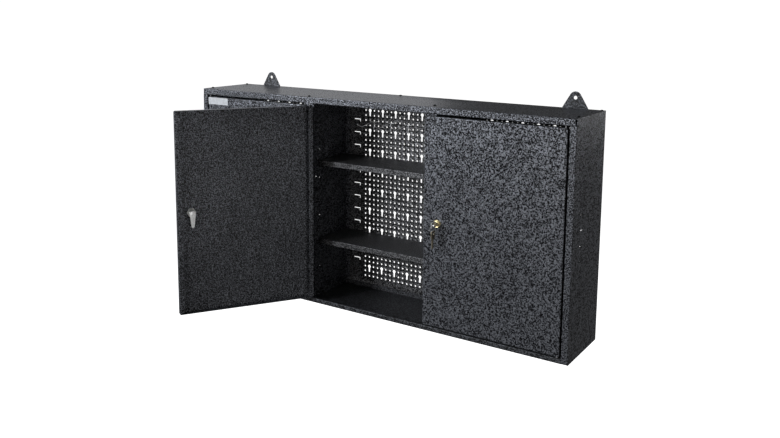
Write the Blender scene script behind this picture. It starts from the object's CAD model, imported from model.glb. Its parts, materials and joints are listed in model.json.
"""Looks of a hanging wall cabinet: folded sheet steel in black hammered paint, three bays, three doors.

Every length is in metres in the row frame: +X to the right, +Y towards the wall, +Z up. Each door's
pieces are laid out as if the door were shut, then turned to where it rests.
"""

import json
import math

import bmesh
import bpy
from mathutils import Matrix, Vector


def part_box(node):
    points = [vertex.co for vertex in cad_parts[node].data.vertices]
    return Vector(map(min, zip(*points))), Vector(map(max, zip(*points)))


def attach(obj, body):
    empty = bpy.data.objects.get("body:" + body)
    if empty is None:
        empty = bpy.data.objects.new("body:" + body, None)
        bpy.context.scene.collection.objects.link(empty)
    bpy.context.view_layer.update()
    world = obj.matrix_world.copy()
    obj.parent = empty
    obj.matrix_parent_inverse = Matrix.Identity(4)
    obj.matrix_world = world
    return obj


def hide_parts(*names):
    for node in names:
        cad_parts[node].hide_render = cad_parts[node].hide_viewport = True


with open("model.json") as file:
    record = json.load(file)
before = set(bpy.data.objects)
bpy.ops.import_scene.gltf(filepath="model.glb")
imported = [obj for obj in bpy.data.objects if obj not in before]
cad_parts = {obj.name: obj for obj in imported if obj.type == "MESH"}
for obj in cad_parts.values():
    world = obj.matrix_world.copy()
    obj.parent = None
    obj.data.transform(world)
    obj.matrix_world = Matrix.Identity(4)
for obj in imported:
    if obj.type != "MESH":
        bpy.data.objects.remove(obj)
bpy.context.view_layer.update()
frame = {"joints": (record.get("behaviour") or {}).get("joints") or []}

MM = 0.001
GAP = 0.3 * MM

# Sheet metal
SHEET = 1.2 * MM
BOARD = 1.0 * MM
BEND = 1.9 * MM
BEND_STEPS = 5
SOFT_BEND = 5 * MM
SOFT_STEPS = 6
EASE = 0.18 * MM
SHARP = math.radians(32)
TOP_FLANGE = 18 * MM
TOP_RETURN = 16 * MM
SIDE_FLANGE = 16.5 * MM
LIP = 14 * MM
LIP_RETURN = 7 * MM
REAR_FLANGE = 15 * MM
DOOR_GAP = 3 * MM
DOOR_LIP = 14 * MM
LIP_CHAMFER = 7 * MM

# Shelf slots
SLOT_ROWS = 12
SLOT_FIRST = 90 * MM
SLOT_PITCH = 39 * MM
SLOT_LENGTH = 22 * MM
SLOT_WIDTH = 2.2 * MM
SLOT_LEG = 8.5 * MM
SLOT_CORNER = 0.7 * MM
REAR_SLOT_OFFSET = 157.5 * MM
SIDE_SLOT_CENTRE = 56 * MM
TAB_DROP = 8 * MM
TAB_WIDTH = 6 * MM

# Hook board
PITCH = 15 * MM
COLUMNS = 18
ROWS = 35
FIRST_ROW = 247.5 * MM
HOLE = 2.5 * MM
KEYHOLE_HEAD = 5.0 * MM
KEYHOLE_COLUMNS = range(1, COLUMNS, 3)
KEYHOLE_ROWS = range(0, ROWS - 1, 4)
WIRE = 1.25 * MM
HOOK_STEM = 28 * MM
HOOK_ELBOW = (65 * MM, 11 * MM)
HOOK_TIP = (88 * MM, 2 * MM)
HOOK_DIP = 3.5 * MM

# Hanging ears and hinges
EAR_ROUND = 16 * MM
EAR_HOLE = 4.8 * MM
EAR_LEAN = 33
SCREW_HEAD = 4.6 * MM
SCREW_SHANK = 2.5 * MM
PIN = 1.8 * MM
PIN_CHAMFER = 0.4 * MM
TAB_ROUND = 7 * MM

# Locks and keys
FACE = 10.5 * MM
FACE_FRONT = 2.5 * MM
BARREL = 8.5 * MM
BARREL_REAR = 21.7 * MM
PLUG = 6.0 * MM
PLUG_FRONT = 2.8 * MM
PLUG_REAR = 22.6 * MM
CAM_NEAR = 22.9 * MM
CAM_FAR = 24.7 * MM
CAM_ROOT = 8 * MM
CAM_TIP = 4 * MM
KEY_SHEET = 2.0 * MM
KEY_WIDTH = 7.4 * MM
KEY_CUTS = [0.9 * MM, 1.8 * MM, 1.2 * MM, 2.0 * MM, 0.8 * MM]
KEY_BOW = 21 * MM
NUT_CORNER = 12.6 * MM
NUT_HEIGHT = 4 * MM
THREAD_PITCH = 1.0 * MM

# The picture
CAMERA_PLACE = (1.2619, -2.0136, 0.5459)
CAMERA_TURN = (81.727, -0.479, 33.182)
CAMERA_LENS = 38.11
CAMERA_SHIFT = (0.0033, -0.1151)
FLOOR_HEIGHT = -1.1

casing_low, casing_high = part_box("side_panel_left")[0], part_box("side_panel_right")[1]
LEFT, FRONT, BOTTOM = casing_low
RIGHT, REAR, TOP = casing_high
BAY = (RIGHT - LEFT) / 3
JOINTS = {joint["name"]: joint for joint in frame["joints"]}
SIDES = {"left": -1, "middle": 0, "right": 1}
MATERIALS = {}


# ---------------------------------------------------------------- shapes

def upright(x, y, z):
    """A flat outline in X and Y, carried along Z."""
    return (x, y, z)


def lengthwise(y, z, x):
    """A flat outline in Y and Z, carried along X."""
    return (x, y, z)


def facing(x, z, y):
    """A flat outline in X and Z, carried along Y."""
    return (x, y, z)


def bent(corners, radius, steps=BEND_STEPS):
    """A line through corners, with an arc of that radius in place of each inner one."""
    corners = [Vector(corner).to_3d() for corner in corners]
    line = [corners[0]]
    for before, corner, after in zip(corners, corners[1:], corners[2:]):
        back, on = (before - corner).normalized(), (after - corner).normalized()
        half = back.angle(on) / 2
        centre = corner + (back + on).normalized() * radius / math.sin(half)
        start = corner + back * radius / math.tan(half) - centre
        end = corner + on * radius / math.tan(half) - centre
        axis, angle = start.cross(end), start.angle(end)
        line += [centre + Matrix.Rotation(angle * i / steps, 3, axis) @ start for i in range(steps + 1)]
    return line + [corners[-1]]


def rounded(corners, radius, steps=4):
    """A closed outline with every corner rounded."""
    return bent([corners[-1], *corners, corners[0]], radius, steps)[1:-1]


def ring(radius, steps, centre=(0, 0)):
    """Points of a circle, as a flat outline."""
    angles = [2 * math.pi * i / steps for i in range(steps)]
    return [Vector((centre[0] + radius * math.cos(a), centre[1] + radius * math.sin(a), 0)) for a in angles]


def arc(centre, radius, start, end, steps):
    """Points from one angle to another, in degrees, both ends included."""
    angles = [math.radians(start + (end - start) * i / steps) for i in range(steps + 1)]
    return [Vector((centre[0] + radius * math.cos(a), centre[1] + radius * math.sin(a), 0)) for a in angles]


def add_sweep(bm, line, levels, place):
    """An open surface: a flat line carried through every level."""
    rows = [[bm.verts.new(place(p[0], p[1], level)) for p in line] for level in levels]
    for low, high in zip(rows, rows[1:]):
        for corners in zip(low, low[1:], high[1:], high):
            bm.faces.new(corners)


def add_prism(bm, loop, start, end, place):
    """A solid: a flat closed outline carried from start to end."""
    low, high = [[bm.verts.new(place(p[0], p[1], level)) for p in loop] for level in (start, end)]
    for i in range(len(loop)):
        j = (i + 1) % len(loop)
        bm.faces.new((low[i], low[j], high[j], high[i]))
    bm.faces.new(low)
    bm.faces.new(high)


def add_box(bm, low, high):
    low, high = Vector(low), Vector(high)
    scale = Matrix.Diagonal((*(high - low), 1))
    bmesh.ops.create_cube(bm, size=1, matrix=Matrix.Translation((low + high) / 2) @ scale)


def add_turned(bm, profile, place, steps=48):
    """A turned solid. profile goes round its section as (radius, depth); a radius of 0 is on the axis."""
    rings = []
    for radius, depth in profile:
        if radius == 0:
            rings.append([bm.verts.new(place(0, 0, depth))] * steps)
        else:
            rings.append([bm.verts.new(place(p[0], p[1], depth)) for p in ring(radius, steps)])
    if profile[0][0] > 0:
        rings.append(rings[0])
    for near, far in zip(rings, rings[1:]):
        for i in range(steps):
            j = (i + 1) % steps
            corners = list(dict.fromkeys((near[i], near[j], far[j], far[i])))
            if len(corners) > 2:
                bm.faces.new(corners)


def add_tube(bm, points, radius, sides=14):
    """A round wire along points, with domed ends."""
    points = [Vector(p) for p in points]
    ahead = (points[1] - points[0]).normalized()
    across = ahead.orthogonal().normalized()
    rings = []
    for i, point in enumerate(points):
        after = points[min(i + 1, len(points) - 1)] - points[max(i - 1, 0)]
        turn = ahead.rotation_difference(after.normalized())
        ahead = turn @ ahead
        across = turn @ across
        rings.append((point, ahead.copy(), across.copy(), radius))
    domes = [(math.cos(a), math.sin(a)) for a in (math.radians(d) for d in (75, 50, 25))]
    start, end = rings[0], rings[-1]
    head = [(start[0] - start[1] * radius * s, start[1], start[2], radius * c) for c, s in domes]
    tail = [(end[0] + end[1] * radius * s, end[1], end[2], radius * c) for c, s in reversed(domes)]
    loops = []
    for point, axis, side, size in head + rings + tail:
        other = axis.cross(side)
        loops.append([bm.verts.new(point + size * (side * p[0] + other * p[1])) for p in ring(1, sides)])
    for near, far in zip(loops, loops[1:]):
        for i in range(sides):
            j = (i + 1) % sides
            bm.faces.new((near[i], near[j], far[j], far[i]))
    bm.faces.new(loops[0])
    bm.faces.new(loops[-1])


def mesh_from(bm, name, out=None):
    """The welded mesh of bm. A solid's faces look outwards. An open surface's largest looks along out."""
    bmesh.ops.remove_doubles(bm, verts=bm.verts, dist=0.001 * MM)
    bmesh.ops.recalc_face_normals(bm, faces=bm.faces)
    if out is not None:
        largest = max(bm.faces, key=lambda face: face.calc_area())
        if largest.normal.dot(Vector(out)) < 0:
            bmesh.ops.reverse_faces(bm, faces=bm.faces)
    mesh = bpy.data.meshes.new(name)
    bm.to_mesh(mesh)
    bm.free()
    return mesh


def worked(mesh, thickness=0, joins=None, cuts=None, edge=EASE, rounds=2):
    """mesh thickened to sheet, joined and cut, with its sharp edges eased and its flats shaded flat."""
    obj = bpy.data.objects.new(mesh.name, mesh)
    bpy.context.scene.collection.objects.link(obj)
    made = [obj]
    if thickness:
        solid = obj.modifiers.new("Sheet", "SOLIDIFY")
        solid.thickness = thickness
        solid.offset = -1
        solid.use_even_offset = True
    for operation, shapes in (("UNION", joins), ("DIFFERENCE", cuts)):
        if shapes is None:
            continue
        helper = bpy.data.objects.new("helper", mesh_from(shapes, "helper"))
        bpy.context.scene.collection.objects.link(helper)
        made.append(helper)
        modifier = obj.modifiers.new(operation, "BOOLEAN")
        modifier.operation = operation
        modifier.solver = "EXACT"
        modifier.use_self = True
        modifier.object = helper
    if edge:
        bevel = obj.modifiers.new("Edges", "BEVEL")
        bevel.width = edge
        bevel.segments = rounds
        bevel.limit_method = "ANGLE"
        bevel.angle_limit = SHARP
    mesh.shade_smooth()
    flats = obj.modifiers.new("Flats", "WEIGHTED_NORMAL")
    flats.keep_sharp = True
    bpy.context.view_layer.update()
    graph = bpy.context.evaluated_depsgraph_get()
    result = bpy.data.meshes.new_from_object(
        obj.evaluated_get(graph), preserve_all_data_layers=True, depsgraph=graph
    )
    for helper in made:
        bpy.data.objects.remove(helper, do_unlink=True)
    return result


def show(name, mesh, finish, body, nodes=(), turn=None):
    """Puts a finished mesh in the scene, on its body, in place of the CAD nodes that it stands for."""
    if turn is not None:
        mesh.transform(turn)
    mesh.materials.clear()
    mesh.materials.append(MATERIALS[finish])
    obj = bpy.data.objects.new(name, mesh)
    bpy.context.scene.collection.objects.link(obj)
    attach(obj, body)
    if nodes:
        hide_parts(*nodes)
    return obj


# ---------------------------------------------------------------- finishes

def new_material(name):
    material = bpy.data.materials.new(name)
    material.use_nodes = True
    nodes, links = material.node_tree.nodes, material.node_tree.links
    shader = nodes["Principled BSDF"]
    where = nodes.new("ShaderNodeTexCoord").outputs["Object"]
    return material, nodes, links, shader, where


def noise(nodes, links, where, size, detail=2.0, roughness=0.5):
    """Noise whose blobs are about size across."""
    node = nodes.new("ShaderNodeTexNoise")
    node.inputs["Scale"].default_value = 1 / size
    node.inputs["Detail"].default_value = detail
    node.inputs["Roughness"].default_value = roughness
    links.new(where, node.inputs["Vector"])
    return node.outputs["Fac"]


def span(nodes, links, value, low, high, to_low=0.0, to_high=1.0):
    """value between low and high, carried to the range from to_low to to_high."""
    node = nodes.new("ShaderNodeMapRange")
    node.interpolation_type = "SMOOTHSTEP"
    for socket, number in (("From Min", low), ("From Max", high), ("To Min", to_low), ("To Max", to_high)):
        node.inputs[socket].default_value = number
    links.new(value, node.inputs["Value"])
    return node.outputs["Result"]


def maths(nodes, links, operation, a, b):
    node = nodes.new("ShaderNodeMath")
    node.operation = operation
    for socket, value in zip(node.inputs, (a, b)):
        if isinstance(value, (int, float)):
            socket.default_value = value
        else:
            links.new(value, socket)
    return node.outputs[0]


def blend(nodes, links, share, dark, light):
    """A colour from dark to light by share."""
    node = nodes.new("ShaderNodeMix")
    node.data_type = "RGBA"
    links.new(share, node.inputs["Factor"])
    for name, colour in (("A", dark), ("B", light)):
        socket = [s for s in node.inputs if s.name == name and s.type == "RGBA"][0]
        socket.default_value = (*colour, 1)
    return [s for s in node.outputs if s.type == "RGBA"][0]


def bump(nodes, links, shader, height, strength, distance):
    node = nodes.new("ShaderNodeBump")
    node.inputs["Strength"].default_value = strength
    node.inputs["Distance"].default_value = distance
    links.new(height, node.inputs["Height"])
    links.new(node.outputs["Normal"], shader.inputs["Normal"])


def hammered_paint(name, dark, fleck, gloss, relief, deep=1, cell=3.1 * MM):
    """Black hammered paint: metallic flecks between dark pools, with an orange peel.

    The flecks come and go a little over the sheet. They are 1 / deep as long along Y as across it.
    """
    material, nodes, links, shader, where = new_material(name)
    mapping = nodes.new("ShaderNodeMapping")
    mapping.inputs["Scale"].default_value = (1, deep, 1)
    links.new(where, mapping.inputs["Vector"])
    grain = noise(nodes, links, mapping.outputs["Vector"], cell, 2.0, 0.6)
    broad = noise(nodes, links, where, 140 * MM, 2.0, 0.5)
    drift = span(nodes, links, broad, 0.3, 0.7, 0.86, 1.12)
    share = maths(nodes, links, "MULTIPLY", span(nodes, links, grain, 0.42, 0.66), drift)
    links.new(blend(nodes, links, share, dark, fleck), shader.inputs["Base Color"])
    links.new(maths(nodes, links, "MULTIPLY", share, 0.85), shader.inputs["Metallic"])
    links.new(span(nodes, links, grain, 0.40, 0.66, gloss, gloss + 0.15), shader.inputs["Roughness"])
    shader.inputs["Specular IOR Level"].default_value = 0.25
    bump(nodes, links, shader, grain, relief, 0.7 * MM)
    return material


def plated(name, colour, stain, roughness, metal, scratch, relief=0.12):
    """Metal with a faint stain and fine scratches along X. metal is 1 for a surface with no dull share."""
    material, nodes, links, shader, where = new_material(name)
    mapping = nodes.new("ShaderNodeMapping")
    mapping.inputs["Scale"].default_value = (0.15, 1, 1)
    links.new(where, mapping.inputs["Vector"])
    lines = noise(nodes, links, mapping.outputs["Vector"], scratch, 3.0, 0.6)
    cloud = noise(nodes, links, where, 6 * MM, 2.0, 0.5)
    links.new(blend(nodes, links, span(nodes, links, cloud, 0.35, 0.75), colour, stain),
              shader.inputs["Base Color"])
    links.new(span(nodes, links, lines, 0.3, 0.7, roughness, roughness + 0.16), shader.inputs["Roughness"])
    shader.inputs["Metallic"].default_value = metal
    bump(nodes, links, shader, lines, relief, 0.08 * MM)
    return material


def dull_black(name):
    """Matt black with a faint mottle."""
    material, nodes, links, shader, where = new_material(name)
    mottle = noise(nodes, links, where, 3 * MM, 2.0, 0.5)
    links.new(blend(nodes, links, mottle, (0.001, 0.001, 0.001), (0.006, 0.006, 0.006)),
              shader.inputs["Base Color"])
    links.new(span(nodes, links, mottle, 0.3, 0.7, 0.55, 0.7), shader.inputs["Roughness"])
    shader.inputs["Specular IOR Level"].default_value = 0.15
    bump(nodes, links, shader, mottle, 0.2, 0.2 * MM)
    return material


def make_finishes():
    MATERIALS.update({
        "casing": hammered_paint("casing_paint", (0.003, 0.003, 0.004), (0.27, 0.28, 0.31), 0.27, 0.5, 0.7),
        "dull": hammered_paint("dull_paint", (0.002, 0.002, 0.002), (0.15, 0.155, 0.17), 0.45, 0.5),
        "rivet": dull_black("rivet_paint"),
        "door": hammered_paint("door_paint", (0.003, 0.003, 0.004), (0.27, 0.28, 0.31), 0.27, 0.5),
        "shelf": hammered_paint("shelf_paint", (0.002, 0.002, 0.002), (0.24, 0.24, 0.25), 0.42, 0.45),
        "board": hammered_paint("back_paint", (0.002, 0.002, 0.002), (0.25, 0.25, 0.26), 0.30, 0.5),
        "wire": plated("hook_chrome", (0.95, 0.95, 0.96), (0.88, 0.89, 0.90), 0.30, 0.30, 1.2 * MM),
        "zinc": plated("zinc_plate", (0.95, 0.95, 0.94), (0.84, 0.84, 0.83), 0.26, 0.70, 0.9 * MM),
        "nut": plated("nut_zinc", (0.95, 0.95, 0.94), (0.88, 0.88, 0.87), 0.30, 0.20, 0.9 * MM),
        "pin": plated("pin_steel", (0.34, 0.34, 0.35), (0.22, 0.22, 0.22), 0.40, 0.75, 0.7 * MM),
        "brass": plated("pale_brass", (0.82, 0.70, 0.42), (0.56, 0.46, 0.24), 0.22, 0.85, 0.7 * MM),
        "aged": plated("aged_key", (0.36, 0.31, 0.22), (0.20, 0.17, 0.12), 0.34, 0.80, 0.7 * MM),
        "key": plated("key_nickel", (0.88, 0.88, 0.88), (0.68, 0.67, 0.64), 0.20, 0.70, 0.7 * MM),
        "plate": plated("plate_satin", (0.52, 0.53, 0.55), (0.42, 0.43, 0.44), 0.36, 0.60, 1.0 * MM, 0.2),
    })


# ---------------------------------------------------------------- casing

def slot_heights():
    return [BOTTOM + SLOT_FIRST + SLOT_PITCH * row for row in range(SLOT_ROWS)]


def slot_outline(middle, top, towards):
    """A slot with a short leg at one end. towards is the side that the leg is on."""
    far, leg = middle - towards * SLOT_LENGTH / 2, middle + towards * SLOT_LENGTH / 2
    inner = leg - towards * SLOT_WIDTH
    corners = [(far, top), (leg, top), (leg, top - SLOT_LEG), (inner, top - SLOT_LEG),
               (inner, top - SLOT_WIDTH), (far, top - SLOT_WIDTH)]
    return rounded(corners, SLOT_CORNER, 3)


def add_side_slots(bm, x):
    for height in slot_heights():
        outline = slot_outline(FRONT + SIDE_SLOT_CENTRE, height + SLOT_WIDTH / 2, 1)
        add_prism(bm, outline, x - 6 * SHEET, x + 6 * SHEET, lengthwise)


def top_panel():
    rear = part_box("top_panel")[1].y
    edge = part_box("top_panel")[1].x
    low = TOP - TOP_FLANGE
    section = [(FRONT + TOP_RETURN, low), (FRONT, low), (FRONT, TOP), (rear, TOP),
               (rear, TOP - REAR_FLANGE)]
    bm = bmesh.new()
    add_sweep(bm, bent(section, BEND), (-edge, edge), lengthwise)
    cuts = bmesh.new()
    for side in (-1, 1):
        x0, x1 = sorted((side * (edge - 3 * MM), side * (edge + MM)))
        add_box(cuts, (x0, FRONT - MM, low - MM), (x1, FRONT + TOP_RETURN + MM, TOP - BEND))
    for side in ("left", "right"):
        ear_low, ear_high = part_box(f"hanging_ear_{side}")
        add_box(cuts, (ear_low.x - GAP, ear_low.y - GAP, TOP - 2 * BEND),
                (ear_high.x + GAP, ear_high.y + GAP, TOP + SHEET))
    show("top_sheet", worked(mesh_from(bm, "top_sheet", (0, 0, 1)), SHEET, cuts=cuts),
         "casing", "casing", ["top_panel"])


def bottom_panel():
    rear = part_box("bottom_panel")[1].y
    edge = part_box("bottom_panel")[1].x
    lip_edge = RIGHT - SIDE_FLANGE - GAP
    lip_top = BOTTOM + LIP
    lip = bent([(FRONT + LIP_RETURN, lip_top), (FRONT, lip_top), (FRONT, BOTTOM + LIP / 2)], BEND)[:-1]
    under = bent([(FRONT, BOTTOM + LIP / 2), (FRONT, BOTTOM), (REAR, BOTTOM)], SOFT_BEND, SOFT_STEPS)[1:-1]
    back = bent([(FRONT + LIP, BOTTOM), (rear, BOTTOM), (rear, BOTTOM + REAR_FLANGE)], BEND)[1:]
    section = lip + under + back
    floor_start = len(lip + under) - 1
    bm = bmesh.new()
    add_sweep(bm, section[:floor_start + 1], (-lip_edge, lip_edge), lengthwise)
    add_sweep(bm, section[floor_start:], (-edge, -lip_edge, lip_edge, edge), lengthwise)
    joins = bmesh.new()
    for which in SIDES:
        x, y = JOINTS[f"{which}_door_hinge"]["pos_m"][:2]
        tab = [(x - TAB_ROUND, FRONT + BEND), (x + TAB_ROUND, FRONT + BEND)]
        tab += arc((x, y + 3 * MM), TAB_ROUND, 0, 180, 10)
        add_prism(joins, tab, lip_top - SHEET - 0.1 * MM, lip_top - 0.05 * MM, upright)
    show("bottom_sheet", worked(mesh_from(bm, "bottom_sheet", (0, 0, -1)), SHEET, joins=joins),
         "dull", "casing", ["bottom_panel"])


def side_panel(label, side):
    outer = side * RIGHT
    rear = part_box(f"side_panel_{label}")[1].y
    rear_low, rear_high = BOTTOM + REAR_FLANGE + GAP, TOP - REAR_FLANGE - GAP
    flange_top = TOP - TOP_FLANGE - GAP
    section = bent([(outer - side * SIDE_FLANGE, FRONT), (outer, FRONT), (outer, rear),
                    (outer - side * REAR_FLANGE, rear)], BEND)
    front_bend, rear_bend = 1 + BEND_STEPS, 1 + BEND_STEPS + 1
    bm = bmesh.new()
    add_sweep(bm, section[:front_bend + 1], (BOTTOM, rear_low, flange_top), upright)
    add_sweep(bm, section[front_bend:rear_bend + 1], (BOTTOM, rear_low, flange_top, rear_high, TOP),
              upright)
    add_sweep(bm, section[rear_bend:], (rear_low, flange_top, rear_high), upright)
    cuts = bmesh.new()
    add_side_slots(cuts, outer)
    for y, z, inward, up in ((FRONT, BOTTOM, 1, 1), (rear, TOP, -1, -1)):
        centre = (y + inward * SOFT_BEND, z + up * SOFT_BEND)
        nick = [(y - inward * MM, z - up * MM), (centre[0], z - up * MM), (centre[0], z)]
        nick += [(centre[0] - inward * SOFT_BEND * math.sin(a), centre[1] - up * SOFT_BEND * math.cos(a))
                 for a in (math.radians(15 * i) for i in range(1, 6))]
        nick += [(y, centre[1]), (y - inward * MM, centre[1])]
        add_prism(cuts, nick, outer - side * 2 * SIDE_FLANGE, outer + side * MM, lengthwise)
    show(f"side_sheet_{label}", worked(mesh_from(bm, "side", (side, 0, 0)), SHEET, cuts=cuts),
         "casing", "casing", [f"side_panel_{label}"])


def partition(label):
    low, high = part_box(f"partition_{label}")
    x = (low.x + high.x) / 2
    half = SHEET / 2
    rear_low, rear_high = BOTTOM + REAR_FLANGE + GAP, TOP - REAR_FLANGE - GAP
    strip_rear = low.y + SHEET
    bm = bmesh.new()
    add_box(bm, (x - half, low.y, low.z), (x + half, high.y - SHEET - GAP, high.z))
    joins = bmesh.new()
    add_box(joins, (low.x, low.y, low.z), (high.x, strip_rear, high.z))
    add_box(joins, (x - half, high.y - SHEET - MM, rear_low), (x + half, high.y, rear_high))
    add_box(joins, (x - REAR_FLANGE, high.y - SHEET, rear_low), (x + REAR_FLANGE, high.y, rear_high))
    cuts = bmesh.new()
    add_side_slots(cuts, x)
    show(f"partition_sheet_{label}", worked(mesh_from(bm, "partition"), joins=joins, cuts=cuts),
         "casing", "casing", [f"partition_{label}"])


def ring_to_square(steps=16):
    """Pairs of a point on the unit circle and the one past it on the unit square."""
    pairs = []
    for point in ring(1, steps):
        pairs.append((point, point / max(abs(point.x), abs(point.y))))
    return pairs


def hole_cell(kind):
    """The faces of one board cell, two units wide: a round hole, or a keyhole's head or foot."""
    pairs = ring_to_square()
    half = HOLE * 2 / PITCH
    head = KEYHOLE_HEAD * 2 / PITCH
    if kind == "round":
        rim = [(c * half, s) for c, s in pairs] + [(pairs[0][0] * half, pairs[0][1])]
        return [[a[0], a[1], b[1], b[0]] for a, b in zip(rim, rim[1:])]
    side = pairs[2][1].y * math.tan(math.radians(22.5))
    if kind == "head":
        order = [14, 15, *range(0, 11)]
        rim = [(pairs[i][0] * head, pairs[i][1]) for i in order]
        shoulder = -math.sqrt(head ** 2 - half ** 2)
        extra = [rim[0][0], (1, -1), (side, -1), (half, -1), (half, shoulder)]
    else:
        order = [*range(8, 16), 0]
        rim = [(pairs[i][0] * half, pairs[i][1]) for i in order]
        extra = [(half, 0), (1, 0), (1, side), (1, 1), (side, 1), (half, 1)]
    faces = [[a[0], a[1], b[1], b[0]] for a, b in zip(rim, rim[1:])]
    faces.append(extra)
    faces.append([(-p[0], p[1]) for p in reversed(extra)])
    return faces


def add_lattice(bm, xs, zs, dropped=()):
    """Rectangles between the lines xs and zs, without those whose middle is in a dropped one."""
    xs, zs = sorted(set(xs)), sorted(set(zs))
    for x0, x1 in zip(xs, xs[1:]):
        for z0, z1 in zip(zs, zs[1:]):
            x, z = (x0 + x1) / 2, (z0 + z1) / 2
            if not any(a < x < b and c < z < d for a, b, c, d in dropped):
                corners = ((x0, z0), (x1, z0), (x1, z1), (x0, z1))
                bm.faces.new([bm.verts.new((p, 0, q)) for p, q in corners])


def hook_board(label, side):
    """A perforated board: small holes on a square grid, keyholes among them, and slots at its sides."""
    middle = side * BAY
    low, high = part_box(f"back_panel_{label}")
    cells = {kind: hole_cell(kind) for kind in ("round", "head", "foot")}
    bm = bmesh.new()
    half = PITCH / 2
    borders = (-1, -math.tan(math.radians(22.5)), 0, math.tan(math.radians(22.5)), 1)
    xs, zs = [], []
    for column in range(COLUMNS):
        x = middle + (column - (COLUMNS - 1) / 2) * PITCH
        xs += [round(x + half * b, 7) for b in borders]
        for row in range(ROWS):
            z = FIRST_ROW - row * PITCH
            kind = "round"
            if column in KEYHOLE_COLUMNS and row in KEYHOLE_ROWS:
                kind = "head"
            if column in KEYHOLE_COLUMNS and row - 1 in KEYHOLE_ROWS:
                kind = "foot"
            for face in cells[kind]:
                bm.faces.new([bm.verts.new((x + p[0] * half, 0, z + p[1] * half)) for p in face])
            if column == 0:
                zs += [round(z + half * b, 7) for b in borders]
    grid_left, grid_right, grid_low, grid_high = min(xs), max(xs), min(zs), max(zs)
    strip_lines = {-1: [low.x, grid_left], 1: [grid_right, high.x]}
    for hand, lines in strip_lines.items():
        leg = middle + hand * (REAR_SLOT_OFFSET - SLOT_LENGTH / 2)
        far = middle + hand * (REAR_SLOT_OFFSET + SLOT_LENGTH / 2)
        inner = leg + hand * SLOT_WIDTH
        lines += [leg, far, inner]
        levels, dropped = list(zs), []
        for height in slot_heights():
            top = height + SLOT_WIDTH / 2
            levels += [top, top - SLOT_WIDTH, top - SLOT_LEG]
            dropped.append((min(leg, far), max(leg, far), top - SLOT_WIDTH, top))
            dropped.append((min(leg, inner), max(leg, inner), top - SLOT_LEG, top))
        levels = [z for z in levels if grid_low <= z <= grid_high]
        add_lattice(bm, lines, levels, dropped)
    across = xs + strip_lines[-1] + strip_lines[1]
    add_lattice(bm, across, (low.z, grid_low))
    add_lattice(bm, across, (grid_high, high.z))
    bmesh.ops.translate(bm, verts=bm.verts, vec=(0, low.y, 0))
    mesh = mesh_from(bm, f"hook_board_{label}", (0, -1, 0))
    board = worked(mesh, BOARD, edge=0)
    board.set_sharp_from_angle(angle=math.radians(30))
    show(f"hook_board_{label}", board, "board", "casing", [f"back_panel_{label}"])


def add_pan(bm, wide, tall, deep, lip, place):
    """A folded pan's outer surface: its face, a flange on each side, and lips on its upright flanges."""
    u, v = wide / 2, tall / 2
    across = [(-u, -deep), (-u, 0), (u, 0), (u, -deep)]
    if lip:
        across = [(lip - u, -deep), *across, (u - lip, -deep)]
    add_sweep(bm, bent(across, BEND), (BEND - v, v - BEND), lambda a, w, level: place(a, level, w))
    for side in (-1, 1):
        edge = bent([(side * (v - BEND), 0), (side * v, 0), (side * v, -deep)], BEND)[1:]
        add_sweep(bm, edge, (BEND - u, u - BEND), lambda b, w, level: place(level, b, w))
    if lip:
        for vert in bm.verts:
            at_end = any((vert.co - Vector(place(a, b, -deep))).length < 0.01 * MM
                         for a in (lip - u, u - lip) for b in (BEND - v, v - BEND))
            if at_end:
                middle = Vector(place(0, 0, -deep))
                along = Vector(place(0, 1, 0)) - Vector(place(0, 0, 0))
                vert.co -= along * math.copysign(LIP_CHAMFER, (vert.co - middle).dot(along))


def shelf(label, level):
    low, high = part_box(f"shelf_{label}_{level}")
    tab_reach = SHEET
    x0, x1 = low.x + tab_reach, high.x - tab_reach
    y0, y1 = low.y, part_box("side_panel_left")[1].y - SHEET - GAP
    deep = high.z - low.z
    middle = Vector(((x0 + x1) / 2, (y0 + y1) / 2, high.z))
    bm = bmesh.new()
    add_pan(bm, x1 - x0, y1 - y0, deep, 0, lambda a, b, c: (middle.x + a, middle.y + b, middle.z + c))
    joins = bmesh.new()
    tab = high.z - TAB_DROP
    bay = SIDES[label] * BAY
    for side in (-1, 1):
        x = bay + side * REAR_SLOT_OFFSET
        add_box(joins, (x - TAB_WIDTH / 2, y1 - 0.9 * SHEET, tab - SHEET / 2),
                (x + TAB_WIDTH / 2, -GAP, tab + SHEET / 2))
    show(f"shelf_tray_{label}_{level}", worked(mesh_from(bm, "shelf", (0, 0, 1)), SHEET, joins=joins),
         "shelf", "casing", [f"shelf_{label}_{level}"])


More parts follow.
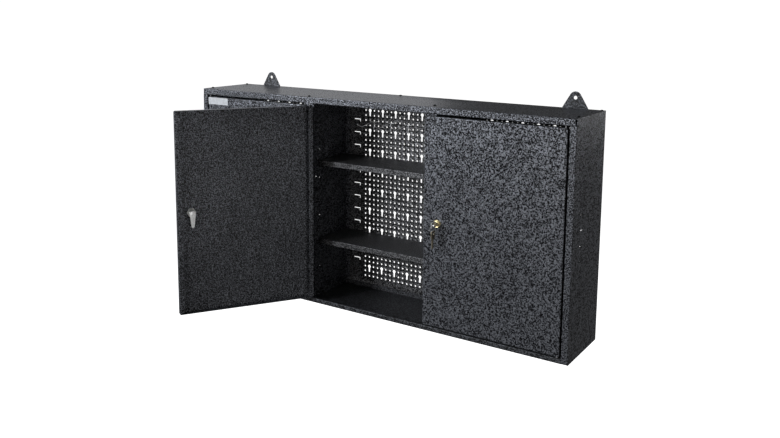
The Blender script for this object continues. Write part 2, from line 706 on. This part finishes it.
def hanging_ear(label):
    low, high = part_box(f"hanging_ear_{label}")
    x = (low.x + high.x) / 2
    half = (high.x - low.x) / 2
    hole = (x, high.z - EAR_ROUND)
    shoulder = TOP + 2 * MM
    outline = [(x - half, low.z), (x + half, low.z), (x + half, shoulder)]
    outline += arc(hole, EAR_ROUND, EAR_LEAN, 180 - EAR_LEAN, 24)
    outline += [(x - half, shoulder)]
    bm = bmesh.new()
    add_prism(bm, outline, low.y, high.y, facing)
    cuts = bmesh.new()
    add_prism(cuts, ring(EAR_HOLE, 32, hole), low.y - MM, high.y + MM, facing)
    show(f"ear_{label}", worked(mesh_from(bm, "ear"), cuts=cuts, edge=0.3 * MM), "dull", "casing",
         [f"hanging_ear_{label}"])
    for number in (1, 2):
        node = f"ear_bolt_{label}_{number}"
        bolt_low, bolt_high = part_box(node)
        centre = (bolt_low + bolt_high) / 2
        seat = low.y - GAP
        profile = [(0, bolt_low.y + 0.9 * MM), (1.9 * MM, bolt_low.y + 0.9 * MM), (2.1 * MM, bolt_low.y),
                   (3.0 * MM, bolt_low.y + 0.1 * MM), (4.1 * MM, bolt_low.y + 0.8 * MM),
                   (SCREW_HEAD, seat - 0.4 * MM), (SCREW_HEAD, seat), (SCREW_SHANK, seat),
                   (SCREW_SHANK, bolt_high.y), (0, bolt_high.y)]
        bm = bmesh.new()
        add_turned(bm, profile, lambda a, b, c: (centre.x + a, c, centre.z + b), 32)
        show(f"ear_screw_{label}_{number}", worked(mesh_from(bm, "screw"), edge=0.12 * MM), "zinc",
             "casing", [node])


def hook(number):
    """A wire hook: a stem down the board, a prong with a raised tip, and a cross wire that dips."""
    low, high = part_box(f"hook_{number}")
    x = (low.x + high.x) / 2
    z = low.z + HOOK_STEM + 0.5 * WIRE
    stand = BOARD + GAP + WIRE
    prong = bent([(x, -stand, z - HOOK_STEM), (x, -stand, z), (x, -HOOK_ELBOW[0], z - HOOK_ELBOW[1]),
                  (x, -HOOK_TIP[0], z - HOOK_TIP[1])], 3.2 * MM, 7)
    end = -GAP - WIRE
    cross = bent([(x - PITCH, end, z), (x - PITCH, -stand - 0.4 * MM, z - 0.2 * MM),
                  (x - PITCH / 2, -stand, z - HOOK_DIP), (x + PITCH / 2, -stand, z - HOOK_DIP),
                  (x + PITCH, -stand - 0.4 * MM, z - 0.2 * MM), (x + PITCH, end, z)], 0.5 * MM, 4)
    bm = bmesh.new()
    add_tube(bm, prong, WIRE)
    mesh = mesh_from(bm, "hook")
    joins = bmesh.new()
    add_tube(joins, cross, WIRE * 0.96)
    show(f"wire_hook_{number}", worked(mesh, joins=joins, edge=0), "wire", "casing", [f"hook_{number}"])


def hinge_pin(which, end):
    """A pin with a rolled head or a collar. end is upper or lower."""
    node = f"{which}_hinge_pin_{end}"
    low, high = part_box(node)
    x, y = JOINTS[f"{which}_door_hinge"]["pos_m"][:2]
    wide = (high.x - low.x) / 2
    if end == "upper":
        seat = high.z - 1.6 * MM
        profile = [(0, low.z), (PIN - PIN_CHAMFER, low.z), (PIN, low.z + PIN_CHAMFER), (PIN, seat),
                   (wide, seat), (wide, high.z - PIN_CHAMFER), (wide - PIN_CHAMFER, high.z), (0, high.z)]
    else:
        seat = BOTTOM + LIP + GAP
        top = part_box("left_door")[0].z - GAP
        profile = [(0, low.z), (PIN - PIN_CHAMFER, low.z), (PIN, low.z + PIN_CHAMFER), (PIN, seat),
                   (wide - PIN_CHAMFER, seat), (wide, seat + PIN_CHAMFER), (wide, top - PIN_CHAMFER),
                   (wide - PIN_CHAMFER, top), (PIN, top), (PIN, high.z - PIN_CHAMFER),
                   (PIN - PIN_CHAMFER, high.z), (0, high.z)]
    bm = bmesh.new()
    add_turned(bm, profile, lambda a, b, c: (x + a, y + b, c), 32)
    show(f"{which}_pin_{end}", worked(mesh_from(bm, "pin"), edge=0), "pin", "casing", [node])


def rivets():
    """Painted rivet heads that join the top to the uprights and the back."""
    places = [(LEFT + 9 * MM, FRONT + 33 * MM), (LEFT + 7 * MM, REAR - 10 * MM), (0, REAR - 10 * MM),
              (-BAY / 2 + 5 * MM, FRONT + 14 * MM), (BAY / 2 + 5 * MM, FRONT + 30 * MM),
              (RIGHT - 9 * MM, FRONT + 33 * MM), (RIGHT - 7 * MM, REAR - 10 * MM)]
    bm = bmesh.new()
    for x, y in places:
        profile = [(0, TOP + 2.6 * MM), (1.6 * MM, TOP + 2.5 * MM), (2.9 * MM, TOP + 2.0 * MM),
                   (3.8 * MM, TOP + 1.2 * MM), (4.2 * MM, TOP + 0.02 * MM), (2 * MM, TOP - 0.3 * MM),
                   (0, TOP - 0.3 * MM)]
        add_turned(bm, profile, lambda a, b, c: (x + a, y + b, c), 24)
    show("top_rivets", worked(mesh_from(bm, "rivets"), edge=0), "rivet", "casing")


def casing():
    top_panel()
    bottom_panel()
    for label, side in SIDES.items():
        hook_board(label, side)
        for level in ("lower", "upper"):
            shelf(label, level)
        if side:
            side_panel(label, side)
            partition(label)
            hanging_ear(label)
    for number in (1, 2, 3, 4):
        hook(number)
    rivets()


# ---------------------------------------------------------------- doors

def door_span(which):
    """Left and right edges of a shut door."""
    if which == "middle":
        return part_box("left_door")[1].x + DOOR_GAP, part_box("right_door")[0].x - DOOR_GAP
    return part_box(f"{which}_door")[0].x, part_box(f"{which}_door")[1].x


def lock_place(which):
    """Centre of the lock on the outer face of a shut door."""
    if which != "middle":
        return Vector(JOINTS[f"{which}_lock_turn"]["pos_m"])
    inset = door_span("left")[1] - lock_place("left").x
    return Vector((door_span("middle")[1] - inset, FRONT, lock_place("left").z))


def rest_turn(which):
    """The matrix that carries a shut door to where it rests, or None for a door that rests shut."""
    if which != "middle":
        return None
    joint = JOINTS["middle_door_hinge"]
    hinge = Vector(joint["pos_m"])
    turn = Matrix.Rotation(-math.radians(joint["range_deg"][1]), 4, Vector(joint["axis"]))
    return Matrix.Translation(hinge) @ turn @ Matrix.Translation(-hinge)


def door_leaf(which):
    low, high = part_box("left_door")
    x0, x1 = door_span(which)
    middle = Vector(((x0 + x1) / 2, FRONT, (low.z + high.z) / 2))
    bm = bmesh.new()
    add_pan(bm, x1 - x0, high.z - low.z, high.y - low.y, DOOR_LIP,
            lambda a, b, c: (middle.x + a, middle.y - c, middle.z + b))
    cuts = bmesh.new()
    lock = lock_place(which)
    add_prism(cuts, ring(BARREL + GAP, 40, (lock.x, lock.z)), FRONT - MM, FRONT + 4 * MM, facing)
    hinge = JOINTS[f"{which}_door_hinge"]["pos_m"]
    for start, end in ((low.z - MM, low.z + 3 * MM), (high.z - 3 * MM, high.z + MM)):
        add_prism(cuts, ring(2.1 * MM, 24, hinge), start, end, upright)
    show(f"{which}_leaf", worked(mesh_from(bm, "leaf", (0, -1, 0)), SHEET, cuts=cuts), "door",
         f"{which}_door", [f"{which}_door"], rest_turn(which))


def at_lock(which):
    """Places a point from across, up and behind the door's face, measured from the lock's centre."""
    place = lock_place(which)
    return lambda a, b, depth: (place.x + a, place.y + depth, place.z + b)


def lock_barrel(which):
    """The lock's body: a dished brass face with a rolled rim, and a plated thread behind it."""
    front = -FACE_FRONT
    bore = PLUG + GAP
    face = [(bore, front + 0.5 * MM), (bore + 0.5 * MM, front + 0.1 * MM),
            (bore + 1.1 * MM, front + 0.1 * MM), (bore + 1.4 * MM, front + 0.4 * MM),
            (FACE - 1.7 * MM, front + 0.4 * MM),
            (FACE - 1.3 * MM, front), (FACE - 0.7 * MM, front), (FACE - 0.15 * MM, front + 0.5 * MM),
            (FACE, front + 1.1 * MM), (FACE, -GAP), (BARREL - MM, -GAP), (bore, -GAP)]
    thread = [(bore, -GAP + 0.01 * MM), (BARREL, -GAP + 0.01 * MM)]
    turns = int((BARREL_REAR - SHEET - 1.5 * MM) / THREAD_PITCH)
    for i in range(turns):
        depth = SHEET + GAP + 0.4 * MM + i * THREAD_PITCH
        thread += [(BARREL, depth), (BARREL - 0.45 * MM, depth + THREAD_PITCH / 2)]
    thread += [(BARREL, BARREL_REAR - 0.6 * MM), (BARREL - 0.6 * MM, BARREL_REAR), (bore, BARREL_REAR)]
    for name, profile, finish, nodes in (("lock_face", face, "brass", [f"{which}_lock_barrel"]),
                                         ("lock_thread", thread, "zinc", [])):
        bm = bmesh.new()
        add_turned(bm, profile, at_lock(which), 64)
        mesh = worked(mesh_from(bm, name), edge=0)
        mesh.set_sharp_from_angle(angle=math.radians(40))
        show(f"{which}_{name}", mesh, finish, f"{which}_door", nodes, rest_turn(which))


def lock_nut(which):
    """A hexagon nut with turned corners."""
    low = SHEET + GAP
    high = low + NUT_HEIGHT
    across, corner = NUT_CORNER, 1.1 * MM
    bm = bmesh.new()
    add_prism(bm, ring(across, 6), low, high, at_lock(which))
    cuts = bmesh.new()
    outside = [(across + 4 * MM, low - MM), (across + 4 * MM, high + MM),
               (across - corner - 1.7 * MM, high + MM), (across - corner, high),
               (across + 0.1 * MM, high - 0.9 * MM), (across + 0.1 * MM, low + 0.9 * MM),
               (across - corner, low), (across - corner - 1.7 * MM, low - MM)]
    add_turned(cuts, outside, at_lock(which), 64)
    add_prism(cuts, ring(BARREL + GAP, 48), low - MM, high + MM, at_lock(which))
    show(f"{which}_nut", worked(mesh_from(bm, "nut"), cuts=cuts), "nut", f"{which}_door",
         [f"{which}_lock_nut"], rest_turn(which))


def lock_plug(which):
    """The turning plug, with a key slot."""
    half, tall = 1.3 * MM, KEY_WIDTH / 2 + GAP
    profile = [(0, -PLUG_FRONT), (PLUG - 0.6 * MM, -PLUG_FRONT), (PLUG, 0.6 * MM - PLUG_FRONT),
               (PLUG, PLUG_REAR), (0, PLUG_REAR)]
    bm = bmesh.new()
    add_turned(bm, profile, at_lock(which), 56)
    cuts = bmesh.new()
    slot = rounded([(-half, -tall), (half, -tall), (half, tall), (-half, tall)], 0.5 * MM)
    add_prism(cuts, slot, -PLUG_FRONT - MM, 14.5 * MM, at_lock(which))
    show(f"{which}_plug", worked(mesh_from(bm, "plug"), cuts=cuts, edge=0.12 * MM), "brass",
         f"{which}_lock", [f"{which}_lock_plug"], rest_turn(which))


def lock_cam(which):
    """A tapered steel arm that hangs down, with two pressed ribs."""
    length = lock_place(which).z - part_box(f"{which}_lock_cam")[0].z - CAM_TIP
    lean = math.degrees(math.asin((CAM_ROOT - CAM_TIP) / length))
    outline = arc((0, 0), CAM_ROOT, -lean, 180 + lean, 28)
    outline += arc((0, -length), CAM_TIP, 180 + lean, 360 - lean, 16)
    bm = bmesh.new()
    add_prism(bm, outline, CAM_NEAR, CAM_FAR, at_lock(which))
    joins = bmesh.new()
    for side in (-1, 1):
        rib = [(side * 3.1 * MM, -9 * MM), (side * 1.5 * MM, 2 * MM - length)]
        run = (Vector(rib[1]) - Vector(rib[0])).normalized()
        off = Vector((-run.y, run.x)) * 0.75 * MM
        corners = [Vector(rib[0]) + off, Vector(rib[1]) + off, Vector(rib[1]) - off, Vector(rib[0]) - off]
        add_prism(joins, rounded(corners, 0.6 * MM), CAM_FAR - 0.6 * MM, CAM_FAR + 0.7 * MM, at_lock(which))
    cuts = bmesh.new()
    add_prism(cuts, ring(2.3 * MM, 24), CAM_NEAR - MM, CAM_FAR + MM, at_lock(which))
    cam = worked(mesh_from(bm, "cam"), joins=joins, cuts=cuts, edge=0.3 * MM, rounds=3)
    show(f"{which}_cam", cam, "zinc", f"{which}_lock", [f"{which}_lock_cam"], rest_turn(which))


def cam_screw(which):
    """A screw with a washer face, a domed hexagon head and a driving slot."""
    seat = CAM_FAR + GAP
    top = seat + 2.4 * MM
    bm = bmesh.new()
    shank, washer = 1.9 * MM, 4.4 * MM
    tip = PLUG_REAR - 4.4 * MM
    profile = [(0, tip), (shank, tip), (shank, seat), (washer, seat),
               (washer, seat + 0.6 * MM), (0, seat + 0.6 * MM)]
    add_turned(bm, profile, at_lock(which), 40)
    joins = bmesh.new()
    add_prism(joins, ring(3.9 * MM, 6), seat + 0.3 * MM, top, at_lock(which))
    cuts = bmesh.new()
    add_prism(cuts, [(-5 * MM, -0.4 * MM), (5 * MM, -0.4 * MM), (5 * MM, 0.4 * MM), (-5 * MM, 0.4 * MM)],
              top - 0.8 * MM, top + MM, at_lock(which))
    screw = worked(mesh_from(bm, "screw"), joins=joins, cuts=cuts, edge=0.2 * MM)
    show(f"{which}_screw", screw, "zinc", f"{which}_lock", [f"{which}_cam_screw"], rest_turn(which))


def door(which):
    door_leaf(which)
    lock_barrel(which)
    lock_nut(which)
    lock_plug(which)
    lock_cam(which)
    cam_screw(which)
    for end in ("upper", "lower"):
        hinge_pin(which, end)


# ---------------------------------------------------------------- keys and plate

def key_mesh(name, blade, neck, place):
    """A key along u with its blade's tip at 0: a grooved, notched blade and a waisted bow with a hole."""
    half, bow_half, corner = KEY_WIDTH / 2, 8.5 * MM, 4 * MM
    start = blade + neck
    end = start + KEY_BOW
    side = bow_half - corner
    notches = []
    step = blade / 7
    for i, depth in enumerate(KEY_CUTS, 1):
        notches += [(i * step - step / 3, -half), (i * step, depth - half), (i * step + step / 3, -half)]
    outline = [(0, half - 2 * MM), (1.4 * MM, -half), *notches, (start, -half)]
    outline += arc((start + corner, -side), corner, 215, 270, 6)
    outline += arc((end - corner, -side), corner, 270, 360, 10)
    outline += arc((end - corner, side), corner, 0, 90, 10)
    outline += arc((start + corner, side), corner, 90, 145, 6)
    outline += [(start, half), (2 * MM, half)]
    bm = bmesh.new()
    add_prism(bm, outline, -KEY_SHEET / 2, KEY_SHEET / 2, place)
    cuts = bmesh.new()
    add_prism(cuts, ring(3.4 * MM, 32, (start + KEY_BOW / 2 + 3 * MM, 0)), -3 * MM, 3 * MM, place)
    for face in (-1, 1):
        low, high = sorted((face * 0.62 * MM, face * 3 * MM))
        groove = [(-MM, 0.3 * MM), (blade, 0.3 * MM), (blade, 1.5 * MM), (-MM, 1.5 * MM)]
        add_prism(cuts, groove, low, high, place)
    return worked(mesh_from(bm, name), cuts=cuts, edge=0.35 * MM, rounds=3)


def keys():
    low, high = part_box("key")
    tip, height = high.y, lock_place("right").z
    x = lock_place("right").x
    held = key_mesh("lock_key", 17 * MM, 5 * MM, lambda u, v, w: (x + w, tip - u, height + v))
    show("lock_key", held, "key", "right_lock", ["key"])
    ring_low, ring_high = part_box("key_ring")
    centre = (ring_low + ring_high) / 2
    radius = (ring_high.z - ring_low.z) / 2 - 0.8 * MM
    turns, steps = 2, 72
    coil = []
    for i in range(steps * turns + 1):
        angle = 2 * math.pi * i / steps + 0.6
        across = (i / (steps * turns) - 0.5) * 0.9 * MM
        coil.append((centre.x + radius * math.cos(angle), centre.y + across,
                     centre.z + radius * math.sin(angle)))
    bm = bmesh.new()
    add_tube(bm, coil, 0.46 * MM, 10)
    show("split_ring", worked(mesh_from(bm, "split_ring"), edge=0), "key", "key_ring", ["key_ring"])
    spare_low, spare_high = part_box("spare_key")
    middle = (spare_low + spare_high) / 2
    spare = key_mesh("hanging_key", 24 * MM, 2 * MM,
                     lambda u, v, w: (x + w, middle.y - v, spare_low.z + u))
    show("hanging_key", spare, "aged", "key_ring", ["spare_key"])


def name_plate():
    """A blank satin plate with a raised border."""
    low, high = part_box("name_plate")
    outline = rounded([(low.x, low.z), (high.x, low.z), (high.x, high.z), (low.x, high.z)], 1.2 * MM, 6)
    border = 1.3 * MM
    inside = rounded([(low.x + border, low.z + border), (high.x - border, low.z + border),
                      (high.x - border, high.z - border), (low.x + border, high.z - border)], 0.6 * MM, 4)
    bm = bmesh.new()
    add_prism(bm, outline, low.y, high.y, facing)
    cuts = bmesh.new()
    add_prism(cuts, inside, low.y - MM, low.y + 0.25 * MM, facing)
    show("blank_plate", worked(mesh_from(bm, "plate"), cuts=cuts, edge=0.1 * MM), "plate", "left_door",
         ["name_plate"])


# ---------------------------------------------------------------- studio

def area_light(name, place, aim, size, power, colour):
    light = bpy.data.lights.new(name, "AREA")
    light.shape = "RECTANGLE"
    light.size, light.size_y = size
    light.energy = power
    light.color = colour
    obj = bpy.data.objects.new(name, light)
    obj.location = place
    obj.rotation_euler = (Vector(aim) - Vector(place)).to_track_quat("-Z", "Y").to_euler()
    bpy.context.scene.collection.objects.link(obj)
    return obj


def studio():
    """A white room that lights the object weakly, a pale floor, soft lamps and the camera."""
    scene = bpy.context.scene
    scene.view_settings.view_transform = "Standard"
    world = bpy.data.worlds.new("studio")
    scene.world = world
    world.use_nodes = True
    nodes, links = world.node_tree.nodes, world.node_tree.links
    background = nodes["Background"]
    path = nodes.new("ShaderNodeLightPath")
    strength = nodes.new("ShaderNodeMapRange")
    strength.inputs["To Min"].default_value = 0.07
    strength.inputs["To Max"].default_value = 1.05
    links.new(path.outputs["Is Camera Ray"], strength.inputs["Value"])
    links.new(strength.outputs["Result"], background.inputs["Strength"])
    background.inputs["Color"].default_value = (1, 1, 1, 1)

    bm = bmesh.new()
    bmesh.ops.create_grid(bm, x_segments=1, y_segments=1, size=30)
    bmesh.ops.translate(bm, verts=bm.verts, vec=(0, 0, FLOOR_HEIGHT))
    floor = bpy.data.objects.new("studio_floor", mesh_from(bm, "studio_floor", (0, 0, 1)))
    scene.collection.objects.link(floor)
    pale, _, _, shader, _ = new_material("pale_floor")
    shader.inputs["Base Color"].default_value = (0.85, 0.85, 0.85, 1)
    shader.inputs["Roughness"].default_value = 0.9
    shader.inputs["Emission Color"].default_value = (1, 1, 1, 1)
    shader.inputs["Emission Strength"].default_value = 1.0
    floor.data.materials.append(pale)
    floor.visible_diffuse = False
    floor.visible_glossy = False

    area_light("key_light", (-2.0, -3.0, 1.15), (0, 0, 0.1), (1.7, 1.1), 118, (0.93, 0.96, 1.0))
    area_light("camera_light", (0.3, -3.5, 0.2), (0, -0.1, 0), (0.9, 0.8), 14, (1.0, 0.99, 0.97))
    area_light("low_right", (3.3, -1.9, -0.6), (-0.3, -0.4, 0), (1.2, 0.9), 5.5, (1.0, 1.0, 1.0))
    rear_left = area_light("rear_left", (-2.6, 2.2, 0.9), (0, -0.1, 0.3), (2.6, 1.6), 7, (0.95, 0.96, 1.0))
    rear_right = area_light("rear_right", (2.6, 2.3, 1.3), (0.6, -0.1, 0.3), (1.2, 1.0), 36,
                            (1.0, 1.0, 1.0))
    side_sheen = area_light("side_sheen", (1.9, 3.4, 0.4), (0.6, -0.1, 0.1), (1.0, 1.0), 5, (1.0, 1.0, 1.0))
    for light in (rear_left, rear_right, side_sheen):
        light.visible_camera = False

    camera = bpy.data.cameras.new("camera")
    camera.lens = CAMERA_LENS
    camera.sensor_width = 36
    camera.shift_x, camera.shift_y = CAMERA_SHIFT
    camera.clip_start, camera.clip_end = 0.05, 100
    obj = bpy.data.objects.new("camera", camera)
    obj.location = CAMERA_PLACE
    obj.rotation_euler = [math.radians(angle) for angle in CAMERA_TURN]
    scene.collection.objects.link(obj)
    scene.camera = obj


studio()
make_finishes()
casing()
for which in SIDES:
    door(which)
keys()
name_plate()
